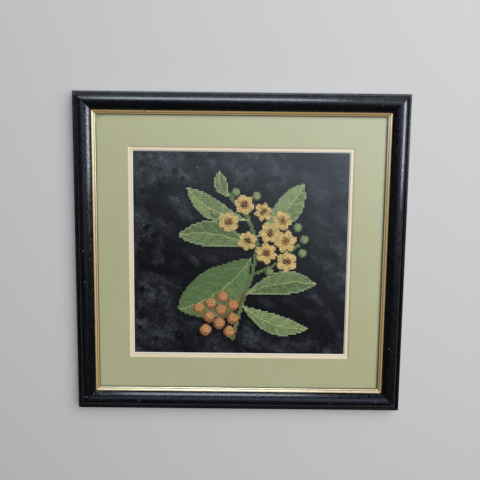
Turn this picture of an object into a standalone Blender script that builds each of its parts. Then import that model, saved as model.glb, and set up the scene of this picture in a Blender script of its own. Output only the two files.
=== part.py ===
"""A framed tapestry, lying on its back with its face up.

The frame is a black lacquered moulding with a gilt slip inside it, both cut in four with mitred ends. In the
moulding's rebate lie a glass pane, a green mount board, a cream mount board, the embroidered cloth and a plain
backing board. Metres, +Z up out of the picture's face, +Y towards the picture's top, and the origin at the
middle of the frame's back.
"""

import math

import bmesh
import bpy
from mathutils import Vector

MM = 0.001

# Outer size of the frame, seen from the front.
FRAME_WIDTH = 400.0 * MM
FRAME_HEIGHT = 388.0 * MM

# What separate pieces keep between them.
GAP = 0.3 * MM

# Widths seen from the front, going inwards from the frame's outer edge.
MOULDING_FACE = 21.3 * MM
SLIP_FACE = 5.5 * MM
GREEN_REVEAL = 36.7 * MM
CREAM_REVEAL = 2.95 * MM

# Thicknesses of what lies in the rebate, back to front.
BACK_RECESS = 1.5 * MM
BACKING_THICKNESS = 3.0 * MM
CLOTH_THICKNESS = 1.2 * MM
BOARD_THICKNESS = 1.4 * MM
GLASS_THICKNESS = 2.0 * MM
SLIP_FLANGE = 1.2 * MM
LIP_THICKNESS = 1.2 * MM

# The moulding's section: a flat outer band, a groove, then one round back that falls to the sight edge.
BAND_WIDTH = 3.1 * MM
BAND_CORNER = 0.7 * MM
BAND_ABOVE_GROOVE = 0.2 * MM
GROOVE_WIDTH = 1.1 * MM
GROOVE_DEPTH = 0.9 * MM
CROWN_INWARDS = 10.8 * MM
CROWN_OUTER_RADIUS = 7.2 * MM
CROWN_INNER_RADIUS = 12.2 * MM
REBATE_WALL = 15.0 * MM

# The slip's section: a wide bead that stands a little above the moulding's sight edge, a narrow one lower
# down, both on one slope towards the glass, and a bare lip that lies on it.
WIDE_BEAD = 2.6 * MM
WIDE_BEAD_RISE = 0.16 * MM
NARROW_BEAD = 2.1 * MM
NARROW_BEAD_RISE = 0.13 * MM
BEADS_ABOVE_SIGHT = 0.4 * MM
BEADS_FALL = 2.5 * MM
BARE_LIP_THICKNESS = 0.4 * MM

# How much room the pieces in the rebate have, and how far the cloth runs under the mounts.
REBATE_PLAY = 0.5 * MM
CLOTH_MARGIN = 19.25 * MM

# Steps that the round parts of the sections are cut into.
CROWN_OUTER_STEPS = 12
CROWN_INNER_STEPS = 20
GROOVE_STEPS = 6
CORNER_STEPS = 4
BEAD_STEPS = 10

# Heights of the layers above the frame's back.
BACKING_Z = BACK_RECESS
CLOTH_Z = BACKING_Z + BACKING_THICKNESS + GAP
CREAM_Z = CLOTH_Z + CLOTH_THICKNESS + GAP
GREEN_Z = CREAM_Z + BOARD_THICKNESS + GAP
GLASS_Z = GREEN_Z + BOARD_THICKNESS + GAP
SLIP_Z = GLASS_Z + GLASS_THICKNESS + GAP
LIP_Z = SLIP_Z + SLIP_FLANGE + GAP
SIGHT_Z = LIP_Z + LIP_THICKNESS

# Distances inwards from the frame's outer edge.
SIGHT_EDGE = MOULDING_FACE + SLIP_FACE
GREEN_WINDOW = SIGHT_EDGE + GREEN_REVEAL
CREAM_WINDOW = GREEN_WINDOW + BOARD_THICKNESS + CREAM_REVEAL
CLOTH_WINDOW = CREAM_WINDOW + BOARD_THICKNESS
FILLING_EDGE = REBATE_WALL + REBATE_PLAY

# How far the moulding's round back reaches either side of its crown, and how far it turns there.
CROWN_OUTER_REACH = CROWN_INWARDS - BAND_WIDTH - GROOVE_WIDTH
CROWN_INNER_REACH = MOULDING_FACE - CROWN_INWARDS
CROWN_OUTER_TURN = math.asin(CROWN_OUTER_REACH / CROWN_OUTER_RADIUS)
CROWN_INNER_TURN = math.asin(CROWN_INNER_REACH / CROWN_INNER_RADIUS)

# Heights that follow from them: the crown, the groove's inner edge and the flat band.
CROWN_Z = SIGHT_Z + CROWN_INNER_RADIUS * (1 - math.cos(CROWN_INNER_TURN))
GROOVE_Z = CROWN_Z - CROWN_OUTER_RADIUS * (1 - math.cos(CROWN_OUTER_TURN))
BAND_Z = GROOVE_Z + BAND_ABOVE_GROOVE

# Colour, roughness and metallic value of each finish.
FINISHES = {
    "black_lacquer": ((0.010, 0.010, 0.012), 0.32, 0.0),
    "gilt": ((0.62, 0.44, 0.17), 0.30, 1.0),
    "picture_glass": ((0.92, 0.95, 0.94), 0.03, 0.0),
    "green_board": ((0.42, 0.44, 0.26), 0.85, 0.0),
    "cream_board": ((0.76, 0.62, 0.45), 0.85, 0.0),
    "black_cloth": ((0.018, 0.019, 0.023), 0.90, 0.0),
    "brown_board": ((0.23, 0.13, 0.06), 0.80, 0.0),
}

# The four sides: the way that each one faces, and the frame's half size that way and along the side.
SIDES = {
    "top": (Vector((0, 1)), FRAME_HEIGHT / 2, FRAME_WIDTH / 2),
    "bottom": (Vector((0, -1)), FRAME_HEIGHT / 2, FRAME_WIDTH / 2),
    "left": (Vector((-1, 0)), FRAME_WIDTH / 2, FRAME_HEIGHT / 2),
    "right": (Vector((1, 0)), FRAME_WIDTH / 2, FRAME_HEIGHT / 2),
}


def clear_scene():
    for obj in list(bpy.data.objects):
        bpy.data.objects.remove(obj)


def finish(name):
    """The material of one finish, made once."""
    found = bpy.data.materials.get(name)
    if found:
        return found
    colour, roughness, metallic = FINISHES[name]
    material = bpy.data.materials.new(name)
    material.use_nodes = True
    shader = material.node_tree.nodes["Principled BSDF"]
    shader.inputs["Base Color"].default_value = (*colour, 1.0)
    shader.inputs["Roughness"].default_value = roughness
    shader.inputs["Metallic"].default_value = metallic
    return material


def add_object(name, mesh_data, finish_name):
    """Turns a bmesh into a named object with its faces pointing out."""
    bmesh.ops.recalc_face_normals(mesh_data, faces=mesh_data.faces)
    mesh = bpy.data.meshes.new(name)
    mesh_data.to_mesh(mesh)
    mesh_data.free()
    mesh.materials.append(finish(finish_name))
    obj = bpy.data.objects.new(name, mesh)
    bpy.context.scene.collection.objects.link(obj)
    return obj


def arc_through(start, end, rise, steps):
    """Points on the round arc from start to end whose middle stands rise off the line between them."""
    chord = Vector(end) - Vector(start)
    half = chord.length / 2
    along = chord.normalized()
    outwards = Vector((-along.y, along.x))
    radius = (half * half + rise * rise) / (2 * rise)
    reach = math.asin(half / radius)
    centre = Vector(start) + along * half + outwards * (rise - radius)
    points = []
    for step in range(steps + 1):
        turn = -reach + 2 * reach * step / steps
        points.append(tuple(centre + radius * (along * math.sin(turn) + outwards * math.cos(turn))))
    return points


def round_corner(x, z, turn_from, steps):
    """Points on a quarter circle of the band's corner radius, about (x, z), turning clockwise."""
    points = []
    for step in range(steps + 1):
        turn = turn_from - math.pi / 2 * step / steps
        points.append((x + BAND_CORNER * math.cos(turn), z + BAND_CORNER * math.sin(turn)))
    return points


def crown_arc(radius, turn_from, turn_to, steps):
    """Points on the moulding's round back, by how far each one turns from upright."""
    points = []
    for step in range(steps + 1):
        turn = turn_from + (turn_to - turn_from) * step / steps
        points.append((CROWN_INWARDS + radius * math.sin(turn), CROWN_Z - radius * (1 - math.cos(turn))))
    return points


def moulding_section():
    """The rail's outline as (distance inwards, height), starting at the back of its outer side."""
    section = [(0.0, 0.0)]
    section += round_corner(BAND_CORNER, BAND_Z - BAND_CORNER, math.pi, CORNER_STEPS)
    section += round_corner(BAND_WIDTH - BAND_CORNER, BAND_Z - BAND_CORNER, math.pi / 2, CORNER_STEPS)
    groove_from = BAND_Z - BAND_CORNER
    for step in range(1, GROOVE_STEPS):
        share = step / GROOVE_STEPS
        level = groove_from + (GROOVE_Z - groove_from) * share
        dip = GROOVE_DEPTH * math.sin(math.pi * share)
        section.append((BAND_WIDTH + GROOVE_WIDTH * share, level - dip))
    section += crown_arc(CROWN_OUTER_RADIUS, -CROWN_OUTER_TURN, 0.0, CROWN_OUTER_STEPS)
    section += crown_arc(CROWN_INNER_RADIUS, 0.0, CROWN_INNER_TURN, CROWN_INNER_STEPS)[1:]
    section.append((MOULDING_FACE, LIP_Z))
    section.append((REBATE_WALL, LIP_Z))
    section.append((REBATE_WALL, 0.0))
    return section


def slip_section():
    """The slip's outline: a flange under the moulding's lip, two beads that fall inwards, and a bare lip."""
    flange_edge = REBATE_WALL + GAP
    bead_edge = MOULDING_FACE + GAP
    slope = BEADS_FALL / (WIDE_BEAD + NARROW_BEAD)
    high = (bead_edge, SIGHT_Z + BEADS_ABOVE_SIGHT)
    middle = (high[0] + WIDE_BEAD, high[1] - slope * WIDE_BEAD)
    low = (middle[0] + NARROW_BEAD, high[1] - BEADS_FALL)
    section = [(flange_edge, SLIP_Z), (flange_edge, SLIP_Z + SLIP_FLANGE), (bead_edge, SLIP_Z + SLIP_FLANGE)]
    section += arc_through(high, middle, WIDE_BEAD_RISE, BEAD_STEPS)
    section += arc_through(middle, low, NARROW_BEAD_RISE, BEAD_STEPS)[1:]
    section.append((low[0], SLIP_Z + BARE_LIP_THICKNESS))
    section.append((SIGHT_EDGE, SLIP_Z + BARE_LIP_THICKNESS))
    section.append((SIGHT_EDGE, SLIP_Z))
    return section


def mitred_length(name, section, side, finish_name):
    """Runs a section along one side of the frame, with both ends cut at 45 degrees."""
    facing, reach, half_length = SIDES[side]
    along = Vector((-facing.y, facing.x))
    end_clearance = GAP / 2 * math.sqrt(2)
    mesh_data = bmesh.new()
    ends = []
    for way in (-1, 1):
        ring = []
        for inwards, height in section:
            place = facing * (reach - inwards) + along * way * (half_length - inwards - end_clearance)
            ring.append(mesh_data.verts.new((place.x, place.y, height)))
        mesh_data.faces.new(ring)
        ends.append(ring)
    count = len(section)
    for i in range(count):
        j = (i + 1) % count
        mesh_data.faces.new((ends[0][i], ends[0][j], ends[1][j], ends[1][i]))
    return add_object(name, mesh_data, finish_name)


def rectangle(mesh_data, inset, height):
    """Four corners of the frame's rectangle, drawn in by inset, at one height."""
    x = FRAME_WIDTH / 2 - inset
    y = FRAME_HEIGHT / 2 - inset
    corners = ((-x, -y), (x, -y), (x, y), (-x, y))
    return [mesh_data.verts.new((*corner, height)) for corner in corners]


def join_rings(mesh_data, lower, upper):
    for i in range(len(lower)):
        j = (i + 1) % len(lower)
        mesh_data.faces.new((lower[i], lower[j], upper[j], upper[i]))


def flat_sheet(name, inset, base, thickness, finish_name):
    """A plain rectangular sheet, such as the glass."""
    mesh_data = bmesh.new()
    lower = rectangle(mesh_data, inset, base)
    upper = rectangle(mesh_data, inset, base + thickness)
    mesh_data.faces.new(lower)
    mesh_data.faces.new(upper)
    join_rings(mesh_data, lower, upper)
    return add_object(name, mesh_data, finish_name)


def window_board(name, window, base, finish_name):
    """A mount board whose window is cut with a 45 degree bevel that opens towards the viewer."""
    mesh_data = bmesh.new()
    top = base + BOARD_THICKNESS
    loops = [
        rectangle(mesh_data, FILLING_EDGE, base),
        rectangle(mesh_data, FILLING_EDGE, top),
        rectangle(mesh_data, window, top),
        rectangle(mesh_data, window + BOARD_THICKNESS, base),
    ]
    for i, loop in enumerate(loops):
        join_rings(mesh_data, loop, loops[(i + 1) % len(loops)])
    return add_object(name, mesh_data, finish_name)


def build():
    clear_scene()
    for side in SIDES:
        mitred_length(f"rail_{side}", moulding_section(), side, "black_lacquer")
        mitred_length(f"slip_{side}", slip_section(), side, "gilt")
    flat_sheet("glass_pane", FILLING_EDGE, GLASS_Z, GLASS_THICKNESS, "picture_glass")
    window_board("mat_outer", GREEN_WINDOW, GREEN_Z, "green_board")
    window_board("mat_inner", CREAM_WINDOW, CREAM_Z, "cream_board")
    cloth_edge = CLOTH_WINDOW - CLOTH_MARGIN
    flat_sheet("embroidered_cloth", cloth_edge, CLOTH_Z, CLOTH_THICKNESS, "black_cloth")
    flat_sheet("backing_board", FILLING_EDGE, BACKING_Z, BACKING_THICKNESS, "brown_board")


build()
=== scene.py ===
# %% [markdown]
# # A framed tapestry, dressed for its portrait
#
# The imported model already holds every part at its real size: four lengths of black moulding, four of gilt
# slip, a sheet of glass, two mount boards, the cloth and a backing board. This notebook gives each part the
# surface that the real one has, works the cloth's weave and its stitches as real threads, and lights the
# whole for a picture from above.
#
# The frame lies on its back. X runs to the picture's right, Y to its top, and Z up out of its face.

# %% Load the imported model
import math

import bpy
import numpy as np
from mathutils import Euler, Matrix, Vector


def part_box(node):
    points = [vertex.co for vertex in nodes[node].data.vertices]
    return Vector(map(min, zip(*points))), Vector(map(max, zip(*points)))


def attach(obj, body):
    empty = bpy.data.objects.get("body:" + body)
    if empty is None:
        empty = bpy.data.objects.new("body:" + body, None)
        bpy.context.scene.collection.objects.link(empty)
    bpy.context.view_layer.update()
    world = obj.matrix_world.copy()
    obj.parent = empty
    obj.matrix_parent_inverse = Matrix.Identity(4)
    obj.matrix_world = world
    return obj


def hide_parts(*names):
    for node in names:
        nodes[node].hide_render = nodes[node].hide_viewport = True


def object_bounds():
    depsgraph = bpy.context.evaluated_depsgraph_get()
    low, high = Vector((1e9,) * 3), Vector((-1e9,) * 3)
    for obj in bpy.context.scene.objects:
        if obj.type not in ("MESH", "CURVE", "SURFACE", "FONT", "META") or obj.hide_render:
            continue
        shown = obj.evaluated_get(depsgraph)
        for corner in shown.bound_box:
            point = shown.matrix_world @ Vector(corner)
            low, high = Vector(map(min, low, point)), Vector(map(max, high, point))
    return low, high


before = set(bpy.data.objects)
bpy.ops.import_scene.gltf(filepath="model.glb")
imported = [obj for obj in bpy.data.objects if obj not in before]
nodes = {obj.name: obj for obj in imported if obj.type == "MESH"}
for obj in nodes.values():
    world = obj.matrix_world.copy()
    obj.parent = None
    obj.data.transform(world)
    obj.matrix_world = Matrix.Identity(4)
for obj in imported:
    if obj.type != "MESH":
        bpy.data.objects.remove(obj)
cad_box = [list(corner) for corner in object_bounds()]
print("Parts in the frame:", ", ".join(sorted(nodes)))

# %% [markdown]
# ## Sizes that the rest is worked out from
#
# All lengths below are in millimetres until they are multiplied by MM, because that is how a framer or an
# embroiderer would say them. The frame's own size, and the cloth's further down, are read from the packed
# model, so that what is made here fits it.

# %% Measure the frame
MM = 0.001
outer_low, outer_high = (Vector(corner) for corner in cad_box)
width, height = outer_high.x - outer_low.x, outer_high.y - outer_low.y
print(f"The frame measures {width / MM:.1f} by {height / MM:.1f} by {outer_high.z / MM:.1f} mm")


# %% [markdown]
# ## Colours and nodes
#
# A colour picked from a picture is an sRGB value, while a shader works with linear light, so one function
# turns the one into the other. A second one feeds an input with a plain value or a link, and a third adds a
# node: what it is given by attribute is set on the node, and each input is fed. Three more start a material,
# feed its shader by the names of the sockets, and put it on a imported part.

# %% Turn a hex colour into linear light
def linear(hex_colour):
    """The linear RGBA of an sRGB colour such as "#A0B080"."""
    channels = [int(hex_colour[i:i + 2], 16) / 255 for i in (1, 3, 5)]
    return [c / 12.92 if c <= 0.04045 else ((c + 0.055) / 1.055) ** 2.4 for c in channels] + [1.0]


print("Mid grey in linear light:", round(linear("#808080")[0], 3))


# %% Add one node, with its settings and links
def feed(socket, value):
    """Links an input to a socket, or to the first output of a node, and sets it to any other value."""
    if isinstance(value, bpy.types.Node):
        value = value.outputs[0]
    if isinstance(value, bpy.types.NodeSocket):
        socket.id_data.links.new(value, socket)
    else:
        socket.default_value = value


def add_node(tree, kind, inputs=None, **settings):
    """Adds a node, with its settings and inputs. A shader tree's kinds go without their ShaderNode prefix."""
    node = tree.nodes.new(f"ShaderNode{kind}" if tree.type == "SHADER" else kind)
    for name, value in settings.items():
        setattr(node, name, value)
    for name, value in (inputs or {}).items():
        feed(node.inputs[name], value)
    return node


def paint(node, **sockets):
    """Feeds a node's sockets, each by its name."""
    for name, value in sockets.items():
        feed(node.inputs[name.replace("_", " ")], value)


# %% Start a material, and dress a part in it
def new_material(name, **sockets):
    """A material with one Principled shader, whose sockets are set by name, and its node tree."""
    material = bpy.data.materials.new(name)
    material.use_nodes = True
    shader = material.node_tree.nodes["Principled BSDF"]
    paint(shader, **sockets)
    return material, material.node_tree, shader


def dress(node_name, material):
    """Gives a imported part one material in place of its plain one."""
    materials = nodes[node_name].data.materials
    materials.clear()
    materials.append(material)


print("Parts to dress:", len(nodes))


# %% [markdown]
# Small chance marks, such as a speck of dust or a knock, are too few for a noise. Each is a place and a
# radius, and a mask for all of them is the largest of one falling ramp for each.

# %% Mask round marks
FULL_SHARE = 0.6


def round_marks(tree, place, marks):
    """A mask socket, 1 near each mark's middle. A mark is right and up of the middle, and radius, in mm."""
    flat = add_node(tree, "VectorMath", {0: place, 1: (1, 1, 0)}, operation="MULTIPLY")
    mask = 0.0
    for right, up, radius in marks:
        middle = (right * MM, up * MM, 0)
        gap = add_node(tree, "VectorMath", {0: flat, 1: middle}, operation="DISTANCE").outputs[1]
        inside = add_node(tree, "MapRange", {0: gap, 1: radius * MM, 2: FULL_SHARE * radius * MM})
        mask = add_node(tree, "Math", {0: mask, 1: inside}, operation="MAXIMUM")
    return mask


# %% [markdown]
# ## The camera
#
# The picture was taken from in front of the frame and a little above its middle, with a lens of about 45 mm
# on a full-frame camera. Lying the frame on its back turns "in front" into "above", so the camera hangs
# 736 mm over the back of the frame, 108 mm towards its top edge, and looks down. The numbers come from
# fitting a perspective to eight corners, four of the frame and four of its window.

# %% Hang the camera over the frame
def add_object(name, data):
    """Puts a camera, a lamp or a mesh in the scene."""
    thing = bpy.data.objects.new(name, data)
    bpy.context.scene.collection.objects.link(thing)
    return thing


CAMERA_PLACE = (-2.3, 108.2, 736.4)
# In degrees.
CAMERA_TURN = (-7.045, -0.057, 0.643)
camera_data = bpy.data.cameras.new("camera")
camera_data.lens = 45.0
camera_data.sensor_width = 36.0
camera = add_object("camera", camera_data)
camera.location = Vector(CAMERA_PLACE) * MM
camera.rotation_euler = Euler([math.radians(turn) for turn in CAMERA_TURN])
bpy.context.scene.camera = camera
print("Camera height above the floor:", round(camera.location.z, 3), "m")

# %% [markdown]
# ## A pale floor and soft light
#
# The light is a room's daylight. A wide soft lamp from nearly straight in front gives the boards and the
# floor their even tone, and a faint bluer one comes from above. Two windows, one to the right with a dimmer
# one beside it and one above, read in the black moulding as long soft streaks: on the inner side of the left
# and bottom rails, and on the outer side of the top and right ones. A rail is a mirror bent in one direction,
# so it shows a window only where the window lies in that direction.
#
# The lamps are kept apart as in a studio. The soft ones light what is matt and are never mirrored. The
# windows are mirrored, light nothing matt, and are linked to the moulding and slip alone, or the pane would
# show one of them as a white patch from some sides. A mirror in the glass's second face leaves the pane by
# transmission, so the soft lamps are hidden from that too. The gilt slip mirrors a window more strongly and
# more coolly than black lacquer does, so both windows have a second lamp for the slip alone.
#
# The glass shows what hangs straight over the picture. There the sky of this small studio is a gradient
# that brightens to the upper right, which lays the faint haze over the cloth that real glass has.

# %% Lay the floor
# In metres.
FLOOR_SIZE = 6.0
# The floor lies this far under the frame, so that their faces never fall together.
FLOOR_DROP = 0.2
floor_material, _, _ = new_material(
    "painted_plaster", Base_Color=linear("#CCCBC9"), Roughness=0.9, Specular_IOR_Level=0.2
)
floor_mesh = bpy.data.meshes.new("floor")
floor_corners = [(FLOOR_SIZE / 2 * x, FLOOR_SIZE / 2 * y, 0) for x, y in ((-1, -1), (1, -1), (1, 1), (-1, 1))]
floor_mesh.from_pydata(floor_corners, [], [(0, 1, 2, 3)])
floor_mesh.materials.append(floor_material)
floor = add_object("floor", floor_mesh)
floor.location.z = -FLOOR_DROP * MM
print("Floor laid")

# %% Hang the soft lamps
# The axis that each side of the frame runs along: 0 is X and 1 is Y.
RUNS_ALONG = {"top": 0, "bottom": 0, "left": 1, "right": 1}
WHITE = "#FDFCFA"
DAYLIGHT = "#F1FDF6"
COOL = "#DCFAF8"
# Place and size, in metres.
RIGHT_WINDOW = ((0.80, 0.185, 0.47), (0.25, 0.50))
TOP_WINDOW = ((-0.05, 0.47, 0.34), (0.45, 0.30))
# Columns: place, size, watts, hue.
LAMPS = {
    "soft_front": ((0.68, 0.56, 1.58), (2.0, 2.0), 39.6, WHITE),
    "soft_top": ((0.30, 1.30, 0.90), (1.0, 1.0), 2.6, "#C4DAFF"),
    "window_right": (*RIGHT_WINDOW, 6.4, WHITE),
    "window_right_glow": ((0.55, 0.18, 0.62), (0.25, 0.35), 0.5, WHITE),
    "window_right_on_gilt": (*RIGHT_WINDOW, 5.8, COOL),
    "window_top": (*TOP_WINDOW, 4.4, DAYLIGHT),
    "window_top_on_gilt": (*TOP_WINDOW, 15.0, COOL),
}
for name, (place, size, watts, hue) in LAMPS.items():
    light_data = bpy.data.lights.new(name, "AREA")
    light_data.shape = "RECTANGLE"
    light_data.size, light_data.size_y = size
    light_data.energy = watts
    light_data.color = linear(hue)[:3]
    light = add_object(name, light_data)
    light.location = place
    light.rotation_euler = light.location.to_track_quat("Z", "Y").to_euler()
    light.visible_diffuse = name.startswith("soft")
    light.visible_glossy = light.visible_transmission = name.startswith("window")
    if name.startswith("window"):
        mirrors = bpy.data.collections.new(f"{name}_mirrors")
        mirror_kind = "slip" if name.endswith("gilt") else "rail"
        for side in RUNS_ALONG:
            mirrors.objects.link(nodes[f"{mirror_kind}_{side}"])
        light.light_linking.receiver_collection = mirrors
    print(name, "at", [round(x, 2) for x in light.location])

# %% Paint the sky of the studio
SKY_DIM = 0.04
SKY_BRIGHT = 2.25
SKY_LEAN = Vector((0.45, 0.89, 0.0))
SKY_LEAN_RANGE = (-0.22, 0.40)
SKY_HEIGHT_RANGE = (0.86, 0.96)
world = bpy.data.worlds.new("studio")
world.use_nodes = True
bpy.context.scene.world = world
sky = world.node_tree
place = add_node(sky, "TexCoord").outputs["Generated"]
lean = add_node(sky, "VectorMath", {0: place, 1: SKY_LEAN}, operation="DOT_PRODUCT").outputs[1]
overhead = add_node(sky, "SeparateXYZ", {0: place}).outputs["Z"]
glow = 1.0
for reach, (first, last) in ((lean, SKY_LEAN_RANGE), (overhead, SKY_HEIGHT_RANGE)):
    ramp = add_node(sky, "MapRange", {0: reach, 1: first, 2: last}, interpolation_type="SMOOTHSTEP")
    glow = add_node(sky, "Math", {0: glow, 1: ramp}, operation="MULTIPLY")
brightness = add_node(sky, "MapRange", {0: glow, 3: SKY_DIM, 4: SKY_BRIGHT})
paint(sky.nodes["Background"], Color=linear("#DEE9FC"), Strength=brightness)
bpy.context.scene.view_settings.view_transform = "Standard"
print("Sky brightness from", SKY_DIM, "to", SKY_BRIGHT)

# %% [markdown]
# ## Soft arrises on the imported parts
#
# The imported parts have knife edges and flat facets. Real mouldings are machined and sanded, so their arrises
# are a little round, and their rounds are smooth. A Weld joins the corners that the file format splits, a
# Bevel rounds what is sharper than a set angle, and a small Geometry Nodes group shades everything else
# smooth. Weighted Normal then lets the large faces decide which way each corner looks, so that a long rail
# mirrors like a straight one and not like one that bends at its ends. None of this moves a part.

# %% Build the smoothing group
SHARP_ANGLE = math.radians(32)
BEVELLED_ANGLE = math.radians(38)
WELD_GAP = 0.01


def smoothing_group():
    """A node group that shades a mesh smooth, except over edges sharper than SHARP_ANGLE."""
    tree = bpy.data.node_groups.new("smooth_rounds", "GeometryNodeTree")
    tree.is_modifier = True
    for way in ("INPUT", "OUTPUT"):
        tree.interface.new_socket("Geometry", in_out=way, socket_type="NodeSocketGeometry")
    start = add_node(tree, "NodeGroupInput")
    plain = add_node(tree, "GeometryNodeRemoveAttribute", {"Geometry": start, "Name": "custom_normal"})
    faces = add_node(
        tree, "GeometryNodeSetShadeSmooth", {"Geometry": plain, "Shade Smooth": True}, domain="FACE"
    )
    angle = add_node(tree, "GeometryNodeInputMeshEdgeAngle")
    blunt = add_node(
        tree, "FunctionNodeCompare", {0: angle, 1: SHARP_ANGLE}, data_type="FLOAT", operation="LESS_THAN"
    )
    edges = add_node(
        tree, "GeometryNodeSetShadeSmooth", {"Geometry": faces, "Shade Smooth": blunt}, domain="EDGE"
    )
    add_node(tree, "NodeGroupOutput", {"Geometry": edges})
    return tree


smooth_rounds = smoothing_group()


def soften(node_name, arris):
    """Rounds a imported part's arrises by that many millimetres and smooths its rounds."""
    part = nodes[node_name]
    weld = part.modifiers.new("weld", "WELD")
    weld.merge_threshold = WELD_GAP * MM
    bevel = part.modifiers.new("arris", "BEVEL")
    bevel.width = arris * MM
    bevel.segments = 2
    bevel.limit_method = "ANGLE"
    bevel.angle_limit = BEVELLED_ANGLE
    smoothing = part.modifiers.new("smooth", "NODES")
    smoothing.node_group = smooth_rounds
    part.modifiers.new("large_faces", "WEIGHTED_NORMAL").keep_sharp = True


print("Edges under", round(math.degrees(SHARP_ANGLE)), "degrees are shaded smooth")


# %% [markdown]
# ## The moulding: black lacquer over open-grained timber
#
# The rails are a light tropical timber, stained black and sprayed with a satin lacquer that sinks into the
# pores. That gives the eye a black with hardly any colour of its own, and streaks of light that break up into
# short dashes along the grain. The pores are about 0.3 mm wide and 5 mm long, and are drawn half a
# millimetre wide, or they would be lost between two pixels. The skin over them has a slower ripple. The grain
# runs along each rail, so the same recipe is made twice, once for each direction.

# %% Make the lacquered timber
PORE_WIDTH = 0.5
PORE_LENGTH = 5.0
# Columns: length and width of the ripple, for grain along X and along Y.
RIPPLES = ((2.6, 1.1), (4.5, 0.8))
FIGURE_WIDTH = 5.0
FIGURE_LENGTH = 60.0
LACQUER_IOR = 1.5
GLOSSY_ROUGHNESS = 0.13
DULL_ROUGHNESS = 0.30
# How far in from the top rail's outer side the band of dust and painted sheen reaches.
DUST_AND_SHEEN_BAND = 5.0
DUST_PATCH = 7.0
SPECK_SPACING = 1.6
RUBBED_ARRIS = 0.9
LACQUER_RELIEF = 0.035
# Columns: right and up of the middle, radius.
KNOCKS = (
    (-189.6, 4.5, 0.8), (-181.4, -6.4, 0.6), (-188.0, -33.5, 0.8), (-191.0, -179.2, 0.9),
    (-188.0, -179.0, 0.8), (-123.7, -182.4, 0.8), (113.4, -183.7, 0.6), (170.8, -181.8, 0.8),
    (191.0, -185.5, 0.7), (184.2, -113.5, 0.8),
)


def lacquered_timber(name, grain_along):
    """Black satin lacquer on timber, its grain along axis 0 (X) or 1 (Y)."""
    material, tree, shader = new_material(name, IOR=LACQUER_IOR, Specular_Tint=linear("#E4E8FF"))
    place = add_node(tree, "TexCoord").outputs["Object"]

    def stretched(length, breadth):
        scale = [1 / (breadth * MM)] * 3
        scale[grain_along] = 1 / (length * MM)
        return add_node(tree, "Mapping", {"Vector": place, "Scale": scale})

    pores = add_node(
        tree, "TexNoise",
        {"Vector": stretched(PORE_LENGTH, PORE_WIDTH), "Scale": 1.0, "Detail": 3.0, "Roughness": 0.65},
    )
    ripple = add_node(
        tree, "TexNoise",
        {"Vector": stretched(*RIPPLES[grain_along]), "Scale": 1.0, "Detail": 2.0, "Roughness": 0.6},
    )
    figure = add_node(
        tree, "TexNoise", {"Vector": stretched(FIGURE_LENGTH, FIGURE_WIDTH), "Scale": 1.0, "Detail": 2.0}
    )
    tone = add_node(tree, "MapRange", {0: figure, 1: 0.35, 2: 0.7})
    stain = add_node(tree, "Mix", {0: tone, 6: linear("#09090B"), 7: linear("#141314")}, data_type="RGBA")
    # Dust and a painted sheen lighten the top rail where it faces up the frame, most of all its outer band.
    across, up_the_frame, _ = add_node(tree, "SeparateXYZ", {0: place}).outputs
    facing = add_node(tree, "NewGeometry").outputs["True Normal"]
    facing_up = add_node(tree, "SeparateXYZ", {0: facing}).outputs["Y"]
    settled_dust_and_sheen = add_node(tree, "MapRange", {0: facing_up, 1: 0.02, 2: 0.14, 4: 0.05})
    on_top = add_node(tree, "Math", {0: up_the_frame, 1: 0.0}, operation="GREATER_THAN")
    band_edge = outer_high.y - DUST_AND_SHEEN_BAND * MM
    dust_and_sheen_band = add_node(tree, "MapRange", {0: up_the_frame, 1: band_edge - 0.4 * MM, 2: band_edge, 4: 0.07})
    patches = add_node(
        tree, "TexNoise",
        {"Vector": place, "Scale": 1 / (DUST_PATCH * MM), "Detail": 6.0, "Roughness": 0.75},
    )
    patchy = add_node(tree, "MapRange", {0: patches, 1: 0.35, 2: 0.65, 3: 0.4, 4: 1.4})
    dust_and_sheen = settled_dust_and_sheen
    for other, operation in ((on_top, "MULTIPLY"), (dust_and_sheen_band, "MAXIMUM"), (patchy, "MULTIPLY")):
        dust_and_sheen = add_node(tree, "Math", {0: dust_and_sheen, 1: other}, operation=operation)
    # The outer arris is rubbed, and there are knocks: many small faint ones, and a few plain ones.
    sideways = add_node(tree, "Math", {0: across}, operation="ABSOLUTE")
    arris = outer_high.x - RUBBED_ARRIS * MM
    rubbed = add_node(tree, "MapRange", {0: sideways, 1: arris, 2: arris + RUBBED_ARRIS / 2 * MM, 4: 0.04})
    specks = add_node(tree, "TexNoise", {"Vector": place, "Scale": 1 / (SPECK_SPACING * MM), "Detail": 2.0})
    specked = add_node(tree, "MapRange", {0: specks, 1: 0.735, 2: 0.77, 4: 0.25})
    knocks = round_marks(tree, place, KNOCKS)
    knocked = add_node(tree, "Math", {0: knocks, 1: 0.3}, operation="MULTIPLY")
    pale = dust_and_sheen
    for more in (rubbed, specked, knocked):
        pale = add_node(tree, "Math", {0: pale, 1: more}, operation="MAXIMUM")
    colour = add_node(tree, "Mix", {0: pale, 6: stain.outputs[2], 7: linear("#C9CCCE")}, data_type="RGBA")
    # The skin of lacquer is level and glossy but for the dips of its ripple, where it is dull.
    level = add_node(tree, "MapRange", {0: ripple, 1: 0.40, 2: 0.54}, interpolation_type="SMOOTHSTEP")
    gloss = add_node(tree, "MapRange", {0: level, 3: DULL_ROUGHNESS, 4: GLOSSY_ROUGHNESS})
    skin = add_node(tree, "Math", {0: pores, 1: 0.25, 2: level}, operation="MULTIPLY_ADD")
    relief = add_node(tree, "Bump", {"Strength": 1.0, "Distance": LACQUER_RELIEF * MM, "Height": skin})
    paint(shader, Base_Color=colour.outputs[2], Roughness=gloss, Normal=relief)
    return material


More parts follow.
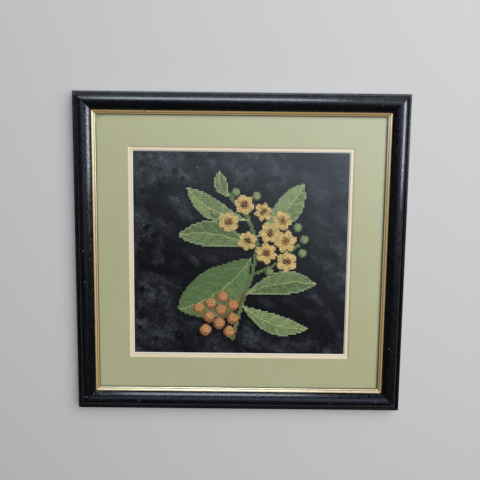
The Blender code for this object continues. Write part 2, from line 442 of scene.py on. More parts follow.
timber = [lacquered_timber(f"black_lacquered_timber_{axis}", along) for along, axis in enumerate("xy")]
RAIL_ARRIS = 0.12
for side, along in RUNS_ALONG.items():
    dress(f"rail_{side}", timber[along])
    soften(f"rail_{side}", RAIL_ARRIS)
print("Lacquered", len(timber), "ways of the grain")

# %% [markdown]
# ## The slip: gold bronze under varnish
#
# The slip is a thin strip with two beads. It is painted with bronze flakes in varnish over a red-brown
# ground, so light comes back from it twice: brown and gold from the flakes, and white from the varnish where
# a lamp is mirrored. The paint has rubbed through here and there, and the bare lip that meets the glass was
# never painted. The groove between the beads, and the seam where the slip goes under the moulding's lip, are
# painted darker and without varnish as shade.

# %% Make the gilding
FLAKE_ROUGHNESS = 0.42
GROUND_ROUGHNESS = 0.8
VARNISH_ROUGHNESS = 0.31
# Above a varnish's usual 1.5, for the flakes in it add to its gloss.
VARNISH_IOR = 2.15
WORN_LENGTH = 9.0
WORN_WIDTH = 0.8
BARE_LIP_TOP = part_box("slip_top")[0].z + 0.85 * MM
# Height of the groove between the beads, where shade is painted.
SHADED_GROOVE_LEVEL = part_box("slip_top")[1].z - 1.38 * MM
GROOVE_HALF_HEIGHT = 0.26 * MM
# Width of the painted shade along the seam under the moulding's lip.
SEAM_SHADE_WIDTH = 0.8 * MM
# How far out from the middle the painted seam shade starts, for a slip along X and for one along Y.
SEAM_SHADE_FROM = (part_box("rail_top")[0].y - SEAM_SHADE_WIDTH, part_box("rail_right")[0].x - SEAM_SHADE_WIDTH)
# Columns: right and up of the middle, radius.
CHIPS = ((-115.1, 170.7, 1.0), (-88.0, 166.3, 0.9), (164.2, 164.5, 1.0))


def gilding(name, along):
    """Worn gold bronze paint, on a slip that runs along axis 0 (X) or 1 (Y)."""
    material, tree, shader = new_material(
        name, Coat_Weight=1.0, Coat_Roughness=VARNISH_ROUGHNESS, Coat_IOR=VARNISH_IOR
    )
    place = add_node(tree, "TexCoord").outputs["Object"]
    scale = [1 / (WORN_WIDTH * MM)] * 3
    scale[along] = 1 / (WORN_LENGTH * MM)
    stretched = add_node(tree, "Mapping", {"Vector": place, "Scale": scale})
    rubbing = add_node(
        tree, "TexNoise", {"Vector": stretched, "Scale": 1.0, "Detail": 4.0, "Roughness": 0.7}
    )
    rubbed = add_node(tree, "MapRange", {0: rubbing, 1: 0.64, 2: 0.72, 4: 0.8})
    right, up, level = add_node(tree, "SeparateXYZ", {0: place}).outputs
    bare = add_node(tree, "Math", {0: level, 1: BARE_LIP_TOP}, operation="LESS_THAN")
    # Painted shade: the groove between the beads is darker and has less varnish gloss.
    in_groove = add_node(
        tree, "Math", {0: level, 1: SHADED_GROOVE_LEVEL, 2: GROOVE_HALF_HEIGHT}, operation="COMPARE"
    )
    groove_shade = add_node(tree, "Math", {0: in_groove, 1: 0.7}, operation="MULTIPLY")
    # Painted shade: a dark, dull line along the seam where the slip goes under the moulding's lip.
    outwards = add_node(tree, "Math", {0: (up, right)[along]}, operation="ABSOLUTE")
    seam_shade = add_node(tree, "Math", {0: outwards, 1: SEAM_SHADE_FROM[along]}, operation="GREATER_THAN")
    bare_or_shaded = bare
    for more in (seam_shade, groove_shade):
        bare_or_shaded = add_node(tree, "Math", {0: bare_or_shaded, 1: more}, operation="MAXIMUM")
    # The dark ground colour shows where the paint is rubbed through and on the bare lip, and is painted shade
    # in the seam and the groove.
    ground = bare_or_shaded
    for more in (rubbed, round_marks(tree, place, CHIPS)):
        ground = add_node(tree, "Math", {0: ground, 1: more}, operation="MAXIMUM")
    colour = add_node(
        tree, "Mix", {0: ground, 6: linear("#C5A15E"), 7: linear("#20160C")}, data_type="RGBA"
    )
    rough = add_node(tree, "MapRange", {0: ground, 3: FLAKE_ROUGHNESS, 4: GROUND_ROUGHNESS})
    varnish = add_node(tree, "MapRange", {0: bare_or_shaded, 3: 1.0, 4: 0.0})
    relief = add_node(tree, "Bump", {"Strength": 0.3, "Distance": 0.05 * MM, "Height": rubbing})
    paint(shader, Base_Color=colour.outputs[2], Roughness=rough, Coat_Weight=varnish, Normal=relief)
    return material


gold_paint = [gilding(f"worn_gold_bronze_{axis}", along) for along, axis in enumerate("xy")]
SLIP_ARRIS = 0.08
for side, along in RUNS_ALONG.items():
    dress(f"slip_{side}", gold_paint[along])
    soften(f"slip_{side}", SLIP_ARRIS)
print("Painted", len(gold_paint), "ways of the slip")

# %% [markdown]
# ## The glass
#
# Picture glass is float glass, 2 mm thick, with a faint green tint. It bends the view a little and throws a
# weak picture of the room back. Light has to reach the cloth through it as well. A shadow ray, and a ray
# that has bounced off the cloth, see plain clear glass, which keeps the cloth as bright as it is under a real
# pane: if only the shadow ray did, each lamp would be counted twice.

# %% Make the glass
GLASS_IOR = 1.5
glass, tree, shader = new_material(
    "float_glass", Base_Color=linear("#FCFEFD"), Roughness=0.0, IOR=GLASS_IOR, Transmission_Weight=1.0
)
clear = add_node(tree, "BsdfTransparent", {"Color": linear("#FCFEFD")})
ray = add_node(tree, "LightPath")
lets_light_in = add_node(
    tree, "Math", {0: ray.outputs["Is Shadow Ray"], 1: ray.outputs["Is Diffuse Ray"]}, operation="MAXIMUM"
)
pane = add_node(tree, "MixShader", {0: lets_light_in, 1: shader, 2: clear})
paint(tree.nodes["Material Output"], Surface=pane)
dress("glass_pane", glass)
print("Glass fitted")

# %% [markdown]
# ## The mount boards
#
# A mount board is a white wood-pulp core with a coloured paper glued to its face, and its window is cut with
# a blade held at 45 degrees, which bares the core as a light line round the opening. The two boards share one
# recipe: coloured paper wherever the surface faces straight up, and core on the cut, with painted shade along
# its top.

# %% Make the mount boards
FIBRE = 1.2
CLOUD = 45.0
SHADED_LINE_DEPTH = 0.35
# Columns: right and up of the middle, radius.
SMUDGES = ((-171.0, 164.6, 3.2), (-166.0, 166.2, 2.2), (140.3, -45.4, 1.1))


def mount_board(board, name, paper, paper_shade, core):
    """Matt coloured paper on a pale core, which shows wherever the board was cut."""
    material, tree, shader = new_material(name, Roughness=0.92, Specular_IOR_Level=0.25)
    place = add_node(tree, "TexCoord").outputs["Object"]
    fibres = add_node(
        tree, "TexNoise", {"Vector": place, "Scale": 1 / (FIBRE * MM), "Detail": 4.0, "Roughness": 0.7}
    )
    clouds = add_node(tree, "TexNoise", {"Vector": place, "Scale": 1 / (CLOUD * MM), "Detail": 3.0})
    fading = add_node(tree, "Mix", {0: clouds, 6: linear(paper), 7: linear(paper_shade)}, data_type="RGBA")
    speckle = add_node(tree, "MapRange", {0: fibres, 1: 0.3, 2: 0.7, 3: 0.96, 4: 1.03})
    smudged = round_marks(tree, place, SMUDGES)
    clean = add_node(tree, "Math", {0: smudged, 1: -0.25, 2: 1.0}, operation="MULTIPLY_ADD")
    shade = add_node(tree, "Math", {0: clean, 1: speckle}, operation="MULTIPLY")
    face = add_node(tree, "VectorMath", {0: fading.outputs[2], "Scale": shade}, operation="SCALE")
    normal = add_node(tree, "NewGeometry").outputs["True Normal"]
    upright = add_node(tree, "SeparateXYZ", {0: normal}).outputs["Z"]
    cut = add_node(tree, "MapRange", {0: upright, 1: 0.98, 2: 0.90})
    level = add_node(tree, "SeparateXYZ", {0: place}).outputs["Z"]
    # Painted shade: a dark line along the top of the cut, where it meets the paper's face.
    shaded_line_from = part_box(board)[1].z - SHADED_LINE_DEPTH * MM
    edge = add_node(tree, "MapRange", {0: level, 1: shaded_line_from, 2: shaded_line_from + 0.1 * MM, 4: 0.6})
    bevel = add_node(tree, "Mix", {0: edge, 6: linear(core), 7: linear("#84744F")}, data_type="RGBA")
    colour = add_node(tree, "Mix", {0: cut, 6: face, 7: bevel.outputs[2]}, data_type="RGBA")
    relief = add_node(tree, "Bump", {"Strength": 0.25, "Distance": 0.05 * MM, "Height": fibres})
    paint(shader, Base_Color=colour.outputs[2], Normal=relief)
    return material


boards = {
    "mat_outer": mount_board("mat_outer", "sage_mount_board", "#C2BE98", "#BAB68E", "#F0E0C4"),
    "mat_inner": mount_board("mat_inner", "cream_mount_board", "#F9E4C6", "#F4DCB9", "#FCF2E8"),
}
for board, material in boards.items():
    dress(board, material)
print("Cut", len(boards), "mount boards")

# %% [markdown]
# ## The canvas
#
# The ground is a cotton canvas for counted work. Its threads are woven in blocks, 12 to the inch each way,
# with a small hole at each corner of a block for the needle. A mesh with a point on each block, each hole and
# each place between them is the coarsest that has this shape, and it is enough: the stitches cover a good
# part of it, and the rest is nearly black.

# %% Weave the canvas
BLOCKS_PER_INCH = 12
PITCH = 25.4 / BLOCKS_PER_INCH
BLOCK_RISE = 0.16
HOLE_DEPTH = 0.42
SLACK = 0.10
UNEVEN_UP = 0.03
UNEVEN_ALONG = 0.04
random_draws = np.random.default_rng(12)
cloth_low, cloth_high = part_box("embroidered_cloth")
cloth_size = ((cloth_high.x - cloth_low.x) / MM, (cloth_high.y - cloth_low.y) / MM)
half_steps = [int(size / PITCH) for size in cloth_size]


def slow_swell(x, y):
    """How far the stretched canvas lies off a flat plane, in millimetres."""
    return SLACK * (np.sin(x / 31 + 1.3) * np.cos(y / 43 - 0.4) + 0.5 * np.sin(x / 17 - y / 23))


def weave():
    """Points and faces of the canvas, woven in front and flat behind, and which points are holes."""
    i, j = np.meshgrid(*(np.arange(-steps, steps + 1) for steps in half_steps))
    odd = i % 2 + j % 2
    rise = np.choose(odd, (BLOCK_RISE, 0.0, -HOLE_DEPTH)) + random_draws.normal(0, UNEVEN_UP, i.shape)
    x = i * PITCH / 2 + random_draws.normal(0, UNEVEN_ALONG, i.shape)
    y = j * PITCH / 2 + random_draws.normal(0, UNEVEN_ALONG, i.shape)
    x[:, [0, -1]] = (-cloth_size[0] / 2, cloth_size[0] / 2)
    y[[0, -1], :] = np.array([[-cloth_size[1] / 2], [cloth_size[1] / 2]])
    z = cloth_high.z / MM + rise + slow_swell(x, y)
    face = np.stack([x, y, z], -1).reshape(-1, 3)
    number = np.arange(i.size).reshape(i.shape)
    quads = np.stack([number[:-1, :-1], number[:-1, 1:], number[1:, 1:], number[1:, :-1]], -1)
    rim = np.concatenate([number[0, :-1], number[:-1, -1], number[-1, :0:-1], number[:0:-1, 0]])
    back = face[rim].copy()
    back[:, 2] = cloth_low.z / MM
    under = len(face) + np.arange(len(rim))
    walls = np.stack([np.roll(rim, -1), rim, under, np.roll(under, -1)], -1)
    quads = np.concatenate([quads.reshape(-1, 4), walls])
    faces = [list(quad) for quad in quads] + [list(under[::-1])]
    in_hole = np.concatenate([(odd == 2).ravel(), np.zeros(len(rim))])
    return np.concatenate([face, back]), faces, in_hole


MAP_MARGIN = 0.01


def mesh_object(name, points, faces, material):
    """A smooth mesh from points in millimetres, with a flat map for its patterns seen from above."""
    mesh = bpy.data.meshes.new(name)
    mesh.from_pydata(points * MM, [], faces)
    mesh.shade_smooth()
    mesh.materials.append(material)
    corners = np.empty(len(mesh.loops), np.int32)
    mesh.loops.foreach_get("vertex_index", corners)
    flat_map = mesh.uv_layers.new(name="OFBake")
    spread = (points[corners, :2] - points[:, :2].min(0)) / np.ptp(points[:, :2], axis=0)
    spread = MAP_MARGIN + (1 - 2 * MAP_MARGIN) * spread
    flat_map.uv.foreach_set("vector", spread.astype(np.float32).ravel())
    return add_object(name, mesh)


def note(piece, name, values):
    """Stores one number for each point of a mesh, for its material to read."""
    attribute = piece.data.attributes.new(name, "FLOAT", "POINT")
    attribute.data.foreach_set("value", values.astype(np.float32))


canvas_points, canvas_faces, in_hole = weave()
print("Canvas points:", len(canvas_points), "and faces:", len(canvas_faces))

# %% [markdown]
# ## The design
#
# A counted design is painted on squared paper, one square to a stitch. Here the paper is an array that holds
# the number of a thread, and leaves, stems, berries and blossoms are functions that fill squares. Squares
# are counted from the middle of the canvas, to the right and up. Lines that no square can follow, such as a
# midrib or a petal's rim, are worked over the squares at the end in back stitch, so the same functions note
# them down.

# %% List the threads
THREADS = {
    "light_green": "#B0C083",
    "mid_green": "#97AB72",
    "grass_green": "#7C935C",
    "deep_green": "#87A469",
    "shadow_green": "#77945E",
    "rim_green": "#B3C191",
    "gold": "#F6BE5E",
    "pale_gold": "#FFE093",
    "ochre": "#D99F55",
    "terracotta": "#F2B27C",
    "rust": "#C48254",
    "bark": "#8F6439",
    "umber": "#4E3422",
}
STRAW = "#F4E3A6"
THREAD_NAMES = list(THREADS)
# From the frame's outer side to the edge of the window that shows the cloth.
WINDOW_INSET = 69.25
CHART_WIDE, CHART_HIGH = (int((size / MM - 2 * WINDOW_INSET) / PITCH) for size in (width, height))
chart = np.full((CHART_HIGH, CHART_WIDE), -1)
column, row = np.meshgrid(*(np.arange(count) - count // 2 for count in (CHART_WIDE, CHART_HIGH)))
straw_lines = []
brown_lines = []
umber_lines = []
print("The window shows", CHART_WIDE, "by", CHART_HIGH, "stitches")


# %% Fill squares
def work(where, thread):
    """Puts one thread's stitches into the squares where a mask is true."""
    chart[where] = THREAD_NAMES.index(thread)


def away_from(place):
    """How far each square lies from a place, in squares."""
    return np.hypot(column - place[0], row - place[1])


def along_stroke(start, end):
    """How far each square lies along a straight stroke, as a share of it, and to its left, in squares."""
    run_x, run_y = end[0] - start[0], end[1] - start[1]
    length = math.hypot(run_x, run_y)
    share = ((column - start[0]) * run_x + (row - start[1]) * run_y) / length ** 2
    aside = ((row - start[1]) * run_x - (column - start[0]) * run_y) / length
    return share, aside, length


def bowed(start, end, bend, steps):
    """Points from start to end on a bow, whose middle stands off the chord by that share of its length."""
    run_x, run_y = end[0] - start[0], end[1] - start[1]
    points = []
    for step in range(steps + 1):
        share = step / steps
        bow = 4 * bend * share * (1 - share)
        points.append((start[0] + share * run_x - bow * run_y, start[1] + share * run_y + bow * run_x))
    return points


# In squares, but for the slope. The sizes of blossoms and berries below are in squares too.
VEIN_SPACING = 7
VEIN_SLOPE = 0.9
LINE_BREADTH = 1.1
MIDRIB_STITCH = 2.4


def leaf(base, tip, breadth, bend, fullest, tones):
    """A leaf on a bowed midrib, broadest at the share of its length that fullest gives."""
    rim, lit, shaded = tones
    share, aside, length = along_stroke(base, tip)
    aside = aside - 4 * bend * length * share * (1 - share)
    swelling = np.clip(share, 0, 1) ** (math.log(0.5) / math.log(fullest))
    half = breadth / 2 * np.sin(math.pi * swelling) ** 0.75
    inside = (share > 0) & (share < 1) & (np.abs(aside) < half)
    work(inside & (aside >= 0), lit)
    work(inside & (aside < 0), shaded)
    vein = (share * length - np.abs(aside) * VEIN_SLOPE) % VEIN_SPACING < LINE_BREADTH
    work(inside & vein & (aside >= 0), shaded)
    work(inside & vein & (aside < 0), lit)
    work(inside & (half - np.abs(aside) < LINE_BREADTH), rim)
    straw_lines.append(bowed(base, tip, bend, int(length / MIDRIB_STITCH)))


def stem(places, thread, half_thickness):
    """A stem through the given places."""
    for start, end in zip(places, places[1:]):
        share, aside, length = along_stroke(start, end)
        beyond = (share - np.clip(share, 0, 1)) * length
        work(np.hypot(aside, beyond) < half_thickness, thread)


def ring_of_points(middle, radius, steps, turn=0.0):
    """Points round a circle, the first one given again at the end."""
    turns = [turn + 2 * math.pi * step / steps for step in range(steps + 1)]
    return [(middle[0] + radius * math.cos(t), middle[1] + radius * math.sin(t)) for t in turns]


PETALS = 6
PETAL_STEPS = 9
# The angle and the number of points of the brown line on a petal's rim.
RIM_FROM = math.radians(160)
RIM_POINTS = 5
# As shares of a blossom's reach.
PETAL_PLACE = 0.62
PETAL_RADIUS = 0.36
HEART_RADIUS = 0.22


def blossom(middle, reach, turn):
    """Six round pale petals about a dark heart, each edged in brown on its lower left."""
    petals = ring_of_points(middle, PETAL_PLACE * reach, PETALS, math.radians(turn))[:-1]
    radius = PETAL_RADIUS * reach
    for place in petals:
        work(away_from(place) < radius, "pale_gold")
        throat = (0.5 * (middle[0] + place[0]), 0.5 * (middle[1] + place[1]))
        work((away_from(place) < radius) & (away_from(throat) < 0.8), "ochre")
        brown_lines.append(ring_of_points(place, radius + 0.3, PETAL_STEPS, RIM_FROM)[:RIM_POINTS])
    for place in ring_of_points(middle, radius, PETALS, math.radians(turn + 180 / PETALS))[:-1]:
        umber_lines.append([middle, place])
    work(away_from(middle) < HEART_RADIUS * reach, "ochre")
    work(away_from(middle) < 1.0, "umber")


def ball(middle, radius, tones):
    """A bud or berry, lit from the upper right, with a dark line round it."""
    bright, lit, shaded = tones
    away = away_from(middle)
    work(away < radius, shaded)
    work((away < radius) & (away_from((middle[0] + 0.7, middle[1] + 0.8)) < radius - 0.5), lit)
    work(away_from((middle[0] + 0.9, middle[1] + 1.0)) < 0.9, bright)
    umber_lines.append(ring_of_points(middle, radius + 0.2, 8))


# %% Work the branch
YOUNG = ("rim_green", "light_green", "mid_green")
GROWN = ("rim_green", "mid_green", "grass_green")
OLD = ("grass_green", "deep_green", "shadow_green")
BERRY = ("gold", "terracotta", "rust")
BUD = ("rim_green", "light_green", "grass_green")
# Columns: base, tip, breadth, bend, share of the length where it is fullest, tones.
LEAVES = (
    ((6, -2), (-36, -33), 29, 0.10, 0.55, OLD),
    ((1, -30), (40, -44), 12, -0.10, 0.55, YOUNG),
    ((3, -24), (44, -17), 14, 0.09, 0.58, GROWN),
    ((8, 4), (-36, 11), 15, -0.09, 0.60, GROWN),
    ((9, 10), (36, 41), 15, -0.07, 0.62, YOUNG),
    ((5, 20), (-31, 38), 12, 0.10, 0.60, YOUNG),
    ((-7, 33), (-13, 48), 8, 0.10, 0.55, GROWN),
)
# Columns: middle, reach of the petals, turn in degrees.
BLOSSOMS = (
    ((26, 8), 6.6, 10), ((15, 1), 6.4, 40), ((17, 13), 6.2, 0), ((27, -4), 6.2, 30), ((24, 20), 5.8, 50),
    ((4, 8), 5.6, 20), ((-7, 19), 6.2, 20), ((2, 29), 6.0, 45), ((13, 25), 5.4, 15),
)
BERRIES = (
    (-10, -25), (-17, -29), (-4, -30), (-24, -32), (-11, -33), (-18, -37), (-4, -38), (-12, -41), (-20, -45),
    (-6, -46),
)
BUDS = ((37, 9), (36, 1), (-3, 36), (33, 16), (-15, 24), (17, -10), (9, 34))
BERRY_RADIUS = 3.3
BUD_RADIUS = 2.6
STEMS = (
    ([(-4, -50), (1, -30), (7, -12), (10, 6), (4, 22), (-8, 36)], "grass_green", 1.1),
    ([(7, -12), (20, -6), (34, 6)], "grass_green", 0.8),
    (bowed((3, -22), (-17, -40), 0.16, 10), "bark", 0.6),
)
TWIG = STEMS[-1][0]
leaf(*LEAVES[0])
for places, thread, half_thickness in STEMS:
    stem(places, thread, half_thickness)
for leaf_row in LEAVES[1:]:
    leaf(*leaf_row)
for berry in BERRIES:
    ball(berry, BERRY_RADIUS, BERRY)
    joint = min(TWIG, key=lambda place: math.dist(place, (berry[0] + 4, berry[1] + 4)))
    share = min(1.0, (BERRY_RADIUS + 0.3) / max(math.dist(joint, berry), 0.1))
    rim = (berry[0] + share * (joint[0] - berry[0]), berry[1] + share * (joint[1] - berry[1]))
    brown_lines.append([joint, rim])
for bud in BUDS:
    ball(bud, BUD_RADIUS, BUD)
for middle, reach, turn in BLOSSOMS:
    blossom(middle, reach, turn)
print("Stitches to work:", int((chart >= 0).sum()))

# %% [markdown]
# ## The stitches
#
# Every stitch is a length of floss that comes up out of one hole, arches over the canvas and goes down
# another, flattened by the tension. A cross is two of them over one block, the first up to the right and the
# second up to the left on top of it. A back stitch is a thinner one that lies over the crosses. One function
# makes any number of such lengths at once, and all that share a thread are one mesh.

# %% Shape a length of floss
FLOSS_SIDES = 6
FLOSS_RINGS = 6
FLOSS_HALF_THICKNESS = 0.24
FLOSS_DIP = 0.42
# How broad a length is at its ends, where the hole pinches it, as a share of its middle.
PINCHED = 0.45
PLUMPNESS_SPREAD = 0.07
LIFT_SPREAD = 0.03
HOLE_INSET = 0.10
CANVAS_TOP = cloth_high.z / MM + BLOCK_RISE


def lengths_of_floss(starts, ends, rise, half_width):
    """Points, faces and dye of arched lengths from each start to each end, in millimetres."""
    count = len(starts)
    run = ends - starts
    reach = np.hypot(run[:, 0], run[:, 1])
    aside = np.stack([-run[:, 1], run[:, 0]], -1) / reach[:, None]
    share = np.repeat(np.linspace(0, 1, FLOSS_RINGS), FLOSS_SIDES)
    turn = np.tile(2 * math.pi * (np.arange(FLOSS_SIDES) + 0.5) / FLOSS_SIDES, FLOSS_RINGS)
    arch = np.sin(math.pi * share) ** 0.6
    breadth = half_width * (PINCHED + (1 - PINCHED) * arch) * np.cos(turn)
    level = -FLOSS_DIP + (rise + FLOSS_DIP) * arch + FLOSS_HALF_THICKNESS * np.sin(turn)
    swell = random_draws.normal(1, PLUMPNESS_SPREAD, (count, 1, 1))
    flat = starts[:, None] + run[:, None] * share[None, :, None]
    flat = flat - aside[:, None] * breadth[None, :, None] * swell
    middle = (starts + ends) / 2
    lift = CANVAS_TOP + slow_swell(middle[:, 0], middle[:, 1]) + random_draws.normal(0, LIFT_SPREAD, count)
    points = np.concatenate([flat, (lift[:, None] + level)[:, :, None]], -1)
    quads = []
    for ring in range(0, FLOSS_SIDES * (FLOSS_RINGS - 1), FLOSS_SIDES):
        for side in range(FLOSS_SIDES):
            after = ring + (side + 1) % FLOSS_SIDES
            quads.append((ring + side, after, after + FLOSS_SIDES, ring + side + FLOSS_SIDES))
    last = FLOSS_SIDES * (FLOSS_RINGS - 1)
    quads += [(3, 2, 1, 0), (5, 4, 3, 0)]
    quads += [(last, last + 1, last + 2, last + 3), (last, last + 3, last + 4, last + 5)]
    faces = np.array(quads)[None] + len(share) * np.arange(count)[:, None, None]
    dye = np.repeat(random_draws.normal(0, 1, count), len(share))
    return points.reshape(-1, 3), faces.reshape(-1, 4), dye


def join_up(parts):
    """One set of points, faces and dye from several."""
    used = np.cumsum([0] + [len(points) for points, _, _ in parts])
    faces = [faces + offset for (_, faces, _), offset in zip(parts, used)]
    return [np.concatenate(group) for group in ([p[0] for p in parts], faces, [p[2] for p in parts])]


# %% Work crosses and back stitches
CROSS_HALF_WIDTH = 0.54
LOWER_RISE = 0.20
UPPER_RISE = 0.56
LINE_HALF_WIDTH = 0.32
LINE_RISE = 0.92
UNEVENNESS = 0.05


def crosses(squares):
    """The two lengths of each cross in the given squares."""
    middles = squares * PITCH + random_draws.normal(0, UNEVENNESS, squares.shape)
    reach = PITCH / 2 - HOLE_INSET
    parts = []
    for slant, rise in ((1, LOWER_RISE), (-1, UPPER_RISE)):
        half_run = np.array([slant * reach, reach])
        parts.append(lengths_of_floss(middles - half_run, middles + half_run, rise, CROSS_HALF_WIDTH))
    return parts


def back_stitches(lines):
    """The lengths of lines worked from hole to hole, each place moved to a hole beside it."""
    starts, ends = [], []
    for line in lines:
        holes = [(math.floor(x) + 0.5, math.floor(y) + 0.5) for x, y in line]
        for start, end in zip(holes, holes[1:]):
            if start != end:
                starts.append(start)
                ends.append(end)
    return [lengths_of_floss(np.array(starts) * PITCH, np.array(ends) * PITCH, LINE_RISE, LINE_HALF_WIDTH)]


print("Lines to work over the crosses:", len(straw_lines) + len(brown_lines) + len(umber_lines))


# %% [markdown]
# Stranded cotton is mercerised, so it has a soft shine, but a cross stitch breaks it up. No two lengths take
# the dye quite alike, so each is a little lighter or darker than its neighbours. A strand of the floss is
# about 0.3 mm thick, finer than a pixel here, and is drawn as a fine noise of nearly that size.

# %% Spin the floss
DYE_SPREAD = 0.13
STRAND_WIDTH = 0.35


def cotton_floss(name, hue):
    """Mercerised cotton with a soft sheen, a little uneven in its dye."""
    material, tree, shader = new_material(
        f"cotton_floss_{name}", Roughness=0.75, Specular_IOR_Level=0.25, Sheen_Weight=0.15,
        Sheen_Roughness=0.5,
    )
    dye = add_node(tree, "Attribute", attribute_name="dye").outputs["Fac"]
    place = add_node(tree, "TexCoord").outputs["Object"]
    strands = add_node(tree, "TexNoise", {"Vector": place, "Scale": 1 / (STRAND_WIDTH * MM), "Detail": 2.0})
    uneven = add_node(tree, "Math", {0: dye, 1: DYE_SPREAD, 2: 1.0}, operation="MULTIPLY_ADD")
    fuzz = add_node(tree, "MapRange", {0: strands, 1: 0.3, 2: 0.7, 3: 0.86, 4: 1.10})
    depth = add_node(tree, "Math", {0: uneven, 1: fuzz}, operation="MULTIPLY")
    colour = add_node(tree, "VectorMath", {0: linear(hue)[:3], "Scale": depth}, operation="SCALE")
    relief = add_node(tree, "Bump", {"Strength": 0.4, "Distance": 0.08 * MM, "Height": strands})
    paint(shader, Base_Color=colour, Normal=relief)
    return material


def floss_piece(name, hue, parts):
    """One mesh of all the lengths that share a thread."""
    points, faces, dye = join_up(parts)
    piece = mesh_object(f"floss_{name}", points, faces, cotton_floss(name, hue))
    note(piece, "dye", dye)
    return piece


print("A length's dye differs by about", DYE_SPREAD, "of its depth")

# %% Work every thread
LINES = {"umber": umber_lines, "bark": brown_lines}
worked = []
for number, (thread, hue) in enumerate(THREADS.items()):
    squares = np.stack([column[chart == number], row[chart == number]], -1).astype(float)
    parts = crosses(squares)
    if thread in LINES:
        parts += back_stitches(LINES[thread])
    worked.append(floss_piece(thread, hue, parts))
    print(f"{thread}: {len(squares)} crosses")
worked.append(floss_piece("straw", STRAW, back_stitches(straw_lines)))
print("Triangles of floss:", sum(2 * len(piece.data.polygons) for piece in worked))

# %% [markdown]
# ## The dye and its marks
#
# The black was washed on by hand. It is lighter in broad slanting clouds, almost black close to the worked
# branch, and it has dark round marks where drops fell, some with a paler middle. The clouds are a noise in
# the material. The marks, and the few brush strokes that stand out from the clouds, are too irregular for a
# noise. So they are short lists, in millimetres from the middle, and each point of the canvas notes how deep
# in them it lies.

# %% Mark the canvas
# Columns: right and up of the middle, radius, and how much paler its middle is.
MARKS = (
    (-116, 31, 3.4, 0.0), (-106, 22, 4.0, 0.0), (-119, -70, 3.4, 0.2), (-123, -78, 4.4, 0.5),
    (-124, -93, 2.8, 0.0), (-44, -84, 3.4, 0.0), (-75, -102, 6.0, 1.0), (-117, 122, 3.2, 0.7),
    (-63, 119, 3.8, 0.0), (-36, 120, 3.8, 0.2), (6, 92, 3.6, 0.3), (46, 93, 3.0, 0.3), (111, 45, 2.6, 0.0),
    (80, 31, 4.0, 0.0), (-120, 111, 3.0, 0.0), (-98, 103, 3.0, 0.2), (-80, 101, 4.0, 0.0),
    (-71, 92, 2.8, 0.0), (-98, 84, 4.2, 0.2), (-119, 76, 4.0, 0.0), (-122, -45, 3.2, 0.0),
    (-104, -108, 2.6, 0.0), (108, 98, 2.8, 0.0),
)
# A mark is full within 0.85 of its radius, and fades out at 1.25 of it. Its paler middle reaches to 0.45.
MARK_END = 1.25
MARK_FALL = 2.5
PALE_END = 0.45
PALE_FALL = 3.0
mark_depth = np.zeros(len(canvas_points))
for right, up, radius, pale in MARKS:
    away = np.hypot(canvas_points[:, 0] - right, canvas_points[:, 1] - up) / radius
    mark_depth += np.clip(MARK_FALL * (MARK_END - away), 0, 1)
    mark_depth -= PALE_FALL * pale * np.clip(PALE_END - away, 0, 1)
# Columns: right and up of the middle, half length, half breadth, slant in degrees, and how much paler it is.
STROKES = (
    (-85, 92, 62, 34, -12, 0.55), (-88, 82, 26, 16, 10, -1.3), (-122, 70, 45, 9, 90, 0.3),
    (-86, 30, 50, 9, -35, 0.5), (-97, -56, 26, 16, -30, 0.2), (-50, -86, 62, 11, -36, 0.7),
    (28, -106, 44, 15, -8, 1.2), (95, -85, 45, 26, -30, -0.9), (-118, -5, 32, 14, 80, -0.8),
    (98, 60, 60, 12, 85, 0.3), (-118, -102, 20, 14, 0, -0.4), (40, 100, 60, 10, -8, 0.25),
    (70, -35, 50, 8, -38, 0.3), (-100, -6, 26, 14, -60, -0.5),
)
stroke_tone = np.zeros(len(canvas_points))
for right, up, half_length, half_breadth, slant, paler in STROKES:
    turn = math.radians(slant)
    off_x, off_y = canvas_points[:, 0] - right, canvas_points[:, 1] - up
    along = (off_x * math.cos(turn) + off_y * math.sin(turn)) / half_length
    beside = (off_y * math.cos(turn) - off_x * math.sin(turn)) / half_breadth
    stroke_tone += paler * np.clip(1 - along ** 2 - beside ** 2, 0, 1)
HALO = 13.0
# Distances are worked out for so many points at once, and to every third stitch, to spare memory and time.
BATCH = 4000
worked_places = np.stack([column[chart >= 0], row[chart >= 0]], -1)[::3] * PITCH
nearness = np.zeros(len(canvas_points))
for start in range(0, len(canvas_points), BATCH):
    some = canvas_points[start:start + BATCH, None, :2]
    gap = np.linalg.norm(some - worked_places[None], axis=-1).min(1)
    nearness[start:start + BATCH] = np.clip(1 - gap / HALO, 0, 1)
print("Marks:", len(MARKS))


# %% Dye the canvas
CLOUD_LENGTH = 80.0
CLOUD_BREADTH = 26.0
CLOUD_SLANT = -38.0
# Columns: size in mm, detail and roughness of a noise, then the start and end of the ramp that it goes
# through, and the shades at both.
PATTERNS = {
    "mottle": (9.0, 5.0, 0.65, 0.35, 0.65, 0.35, 1.0),
    "blots": (15.0, 7.0, 0.7, 0.44, 0.50, 0.35, 1.0),
    "grain": (2.0, 3.0, 0.5, 0.35, 0.65, 0.4, 1.6),
    "spatter": (4.0, 1.0, 0.5, 0.60, 0.66, 1.0, 0.5),
}
CANVAS_NOTES = {"near_work": nearness, "stroke": stroke_tone, "mark": mark_depth, "hole": in_hole}
# Columns: right and up of the middle, radius.
LINT = ((-52.9, 105.7, 0.7), (-6.8, 86.9, 0.7))


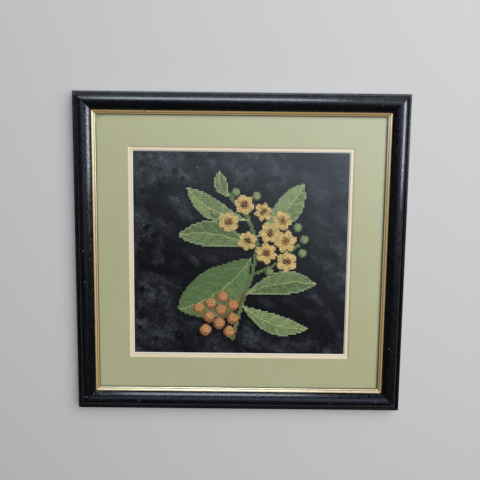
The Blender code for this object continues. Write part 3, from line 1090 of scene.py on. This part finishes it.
def washed_canvas():
    """Cotton canvas under an uneven black wash, its grain about as coarse as a block of the weave."""
    material, tree, shader = new_material("washed_black_canvas", Roughness=0.9, Specular_IOR_Level=0.2)
    place = add_node(tree, "TexCoord").outputs["Object"]
    slant = add_node(
        tree, "Mapping",
        {"Vector": place, "Rotation": (0, 0, math.radians(CLOUD_SLANT)),
         "Scale": (CLOUD_LENGTH * MM, CLOUD_BREADTH * MM, 1)},
        vector_type="TEXTURE",
    )
    clouds = add_node(
        tree, "TexNoise",
        {"Vector": slant, "Scale": 1.0, "Detail": 5.0, "Roughness": 0.6, "Distortion": 0.8},
    )
    cloudy = add_node(tree, "MapRange", {0: clouds, 1: 0.38, 2: 0.66}, interpolation_type="SMOOTHSTEP")
    noises, shades = {}, {}
    for name, (size, detail, roughness, first, last, low, high) in PATTERNS.items():
        noises[name] = add_node(
            tree, "TexNoise",
            {"Vector": place, "Scale": 1 / (size * MM), "Detail": detail, "Roughness": roughness},
        )
        shades[name] = add_node(tree, "MapRange", {0: noises[name], 1: first, 2: last, 3: low, 4: high})
    near, stroke, mark, hole = (
        add_node(tree, "Attribute", attribute_name=name).outputs["Fac"] for name in CANVAS_NOTES
    )
    open_ground = add_node(tree, "MapRange", {0: near, 2: 0.7, 3: 1.0, 4: 0.15})
    marked = add_node(tree, "MapRange", {0: mark, 1: -0.5, 2: 1.0, 3: 1.6, 4: 0.2})
    # Painted light and shade: the woven blocks are painted lighter and the holes between them darker.
    hole_shade = add_node(tree, "MapRange", {0: hole, 3: 1.15, 4: 0.35})
    wash = add_node(tree, "Math", {0: cloudy, 1: stroke}, operation="ADD", use_clamp=True)
    for shade in (shades["mottle"], open_ground, shades["blots"]):
        wash = add_node(tree, "Math", {0: wash, 1: shade}, operation="MULTIPLY")
    ground = add_node(tree, "Mix", {0: wash, 6: linear("#0F0F12"), 7: linear("#47484E")}, data_type="RGBA")
    depth = marked
    for shade in (shades["grain"], shades["spatter"], hole_shade):
        depth = add_node(tree, "Math", {0: depth, 1: shade}, operation="MULTIPLY")
    dyed = add_node(tree, "VectorMath", {0: ground.outputs[2], "Scale": depth}, operation="SCALE")
    lint = round_marks(tree, place, LINT)
    colour = add_node(tree, "Mix", {0: lint, 6: dyed, 7: linear("#9FA3A8")}, data_type="RGBA")
    relief = add_node(tree, "Bump", {"Strength": 0.5, "Distance": 0.1 * MM, "Height": noises["grain"]})
    paint(shader, Base_Color=colour.outputs[2], Normal=relief)
    return material


canvas = mesh_object("canvas", canvas_points, canvas_faces, washed_canvas())
for name, values in CANVAS_NOTES.items():
    note(canvas, name, values)
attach(canvas, "root")
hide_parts("embroidered_cloth")
for piece in worked:
    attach(piece, "root")
print("Canvas dyed and stretched")

# %% [markdown]
# ## The backing board
#
# The back of the frame doesn't show, so it is closed with what framers use: brown hardboard, pressed from
# wood fibre. Fibres lie every way in it, so it is a fine mottle of browns with a slight hairiness.

# %% Press the backing board
BOARD_FIBRE = 1.5


def hardboard():
    """Brown wood fibre, pressed flat."""
    material, tree, shader = new_material("pressed_fibre_hardboard", Roughness=0.8, Specular_IOR_Level=0.3)
    place = add_node(tree, "TexCoord").outputs["Object"]
    fibres = add_node(
        tree, "TexNoise",
        {"Vector": place, "Scale": 1 / (BOARD_FIBRE * MM), "Detail": 5.0, "Roughness": 0.7,
         "Distortion": 1.5},
    )
    brown = add_node(tree, "Mix", {0: fibres, 6: linear("#6B4A2E"), 7: linear("#9A7450")}, data_type="RGBA")
    relief = add_node(tree, "Bump", {"Strength": 0.4, "Distance": 0.15 * MM, "Height": fibres})
    paint(shader, Base_Color=brown.outputs[2], Normal=relief)
    return material


dress("backing_board", hardboard())
print("Backing board pressed")
